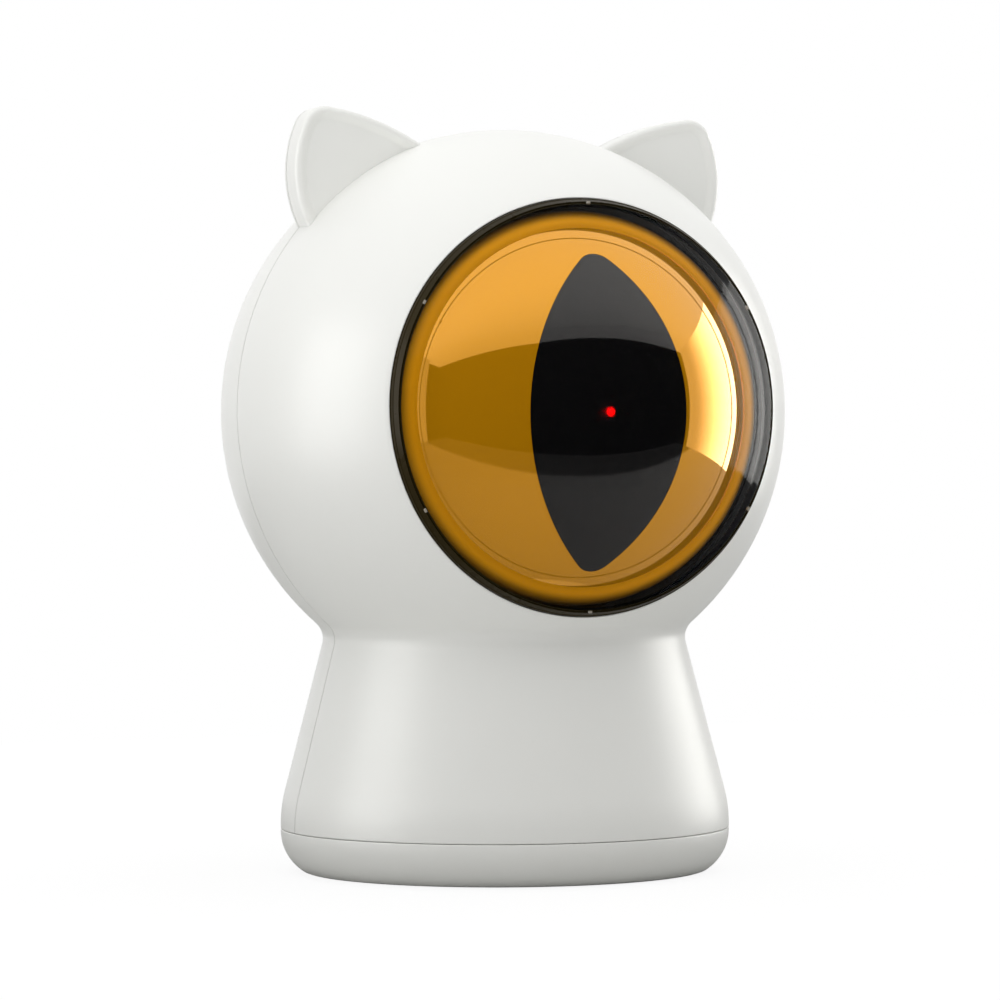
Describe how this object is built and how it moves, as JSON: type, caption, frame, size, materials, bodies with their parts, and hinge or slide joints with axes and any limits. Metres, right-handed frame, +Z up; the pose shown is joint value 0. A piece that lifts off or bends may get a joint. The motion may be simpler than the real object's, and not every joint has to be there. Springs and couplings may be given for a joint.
{
  "type": "automatic cat laser toy",
  "caption": "Round-headed pet toy with two ears, a flared body and a domed eye; a geared pan and tilt laser shines through the slit pupil.",
  "frame": {"origin": "middle of the footprint on the table, under the head's centre", "axes": "+Z up, the eye looks along -Y, +X is to the right seen from the front"},
  "size_m": [0.082, 0.082, 0.1099],
  "materials": {
    "shell_white": "satin moulded plastic",
    "contact_metal": "nickel plated",
    "foot_rubber": "matte",
    "screw_steel": "zinc plated",
    "smoked_clear": "smoked clear, polished",
    "gasket_foam": "matte foam",
    "amber_mirror": "amber metallised mirror",
    "pupil_black": "dark laser filter, polished",
    "frame_black": "moulded",
    "bush_brass": "turned",
    "gear_nylon": "natural nylon",
    "motor_steel": "drawn can",
    "laser_red": "lit red window",
    "board_green": "solder mask",
    "chip_black": "moulded",
    "light_clear": "milky light guide",
    "cell_wrap": "printed foil, plain"
  },
  "bodies": {
    "housing": {"front_shell": "shell_white", "rear_shell": "shell_white", "base_cover": "shell_white", "foot_pads": "foot_rubber", "base_screws": "screw_steel", "eye_lens": "smoked_clear", "lens_gasket": "gasket_foam", "iris_dome": "amber_mirror", "pupil_window": "pupil_black", "lens_retainer": "frame_black", "retainer_screws": "screw_steel", "gimbal_bracket": "frame_black", "bracket_screws": "screw_steel", "pan_bush": "bush_brass", "pan_motor": "motor_steel", "main_board": "board_green", "board_chips": "chip_black", "board_screws": "screw_steel", "push_switch": "chip_black", "usb_socket": "contact_metal", "status_light": "light_clear", "battery_tray": "frame_black", "tray_contacts": "contact_metal", "tray_screws": "screw_steel", "battery_cells": "cell_wrap"},
    "yoke": {"pan_yoke": "frame_black", "pan_gear": "gear_nylon", "pan_clip": "screw_steel", "yoke_bushes": "bush_brass", "tilt_motor": "motor_steel"},
    "cradle": {"tilt_cradle": "frame_black", "tilt_gear": "gear_nylon", "laser_module": "bush_brass", "laser_lens": "laser_red"},
    "pan_drive": {"pan_pinion": "gear_nylon"},
    "tilt_drive": {"tilt_pinion": "gear_nylon"},
    "button": {"power_button": "shell_white"},
    "door": {"battery_door": "shell_white", "door_contacts": "contact_metal"}
  },
  "joints": [
    {"name": "pan", "type": "hinge", "parent": "housing", "child": "yoke", "pos_m": [0, -0.0155, 0.05], "axis": [0, 0, 1], "range_deg": [-25, 25]},
    {"name": "tilt", "type": "hinge", "parent": "yoke", "child": "cradle", "pos_m": [0, -0.0155, 0.0658], "axis": [1, 0, 0], "range_deg": [-20, 35]},
    {"name": "pan_motor_spin", "type": "hinge", "parent": "housing", "child": "pan_drive", "pos_m": [0.01067, -0.01, 0.05], "axis": [0, 0, 1], "range_deg": [-80, 80]},
    {"name": "tilt_motor_spin", "type": "hinge", "parent": "yoke", "child": "tilt_drive", "pos_m": [0, -0.0035, 0.0658], "axis": [1, 0, 0], "range_deg": [-110, 65]},
    {"name": "power_button_press", "type": "slide", "parent": "housing", "child": "button", "axis": [0, -1, 0], "range_m": [0, 0.0006], "stiffness_N_per_m": 500, "springref_m": -0.0004},
    {"name": "battery_door_pull", "type": "slide", "parent": "housing", "child": "door", "axis": [0, 0, -1], "range_m": [0, 0.015]}
  ],
  "couplings": [
    {"joint": "pan_motor_spin", "follows": "pan", "ratio": -3},
    {"joint": "tilt_motor_spin", "follows": "tilt", "ratio": -3}
  ]
}
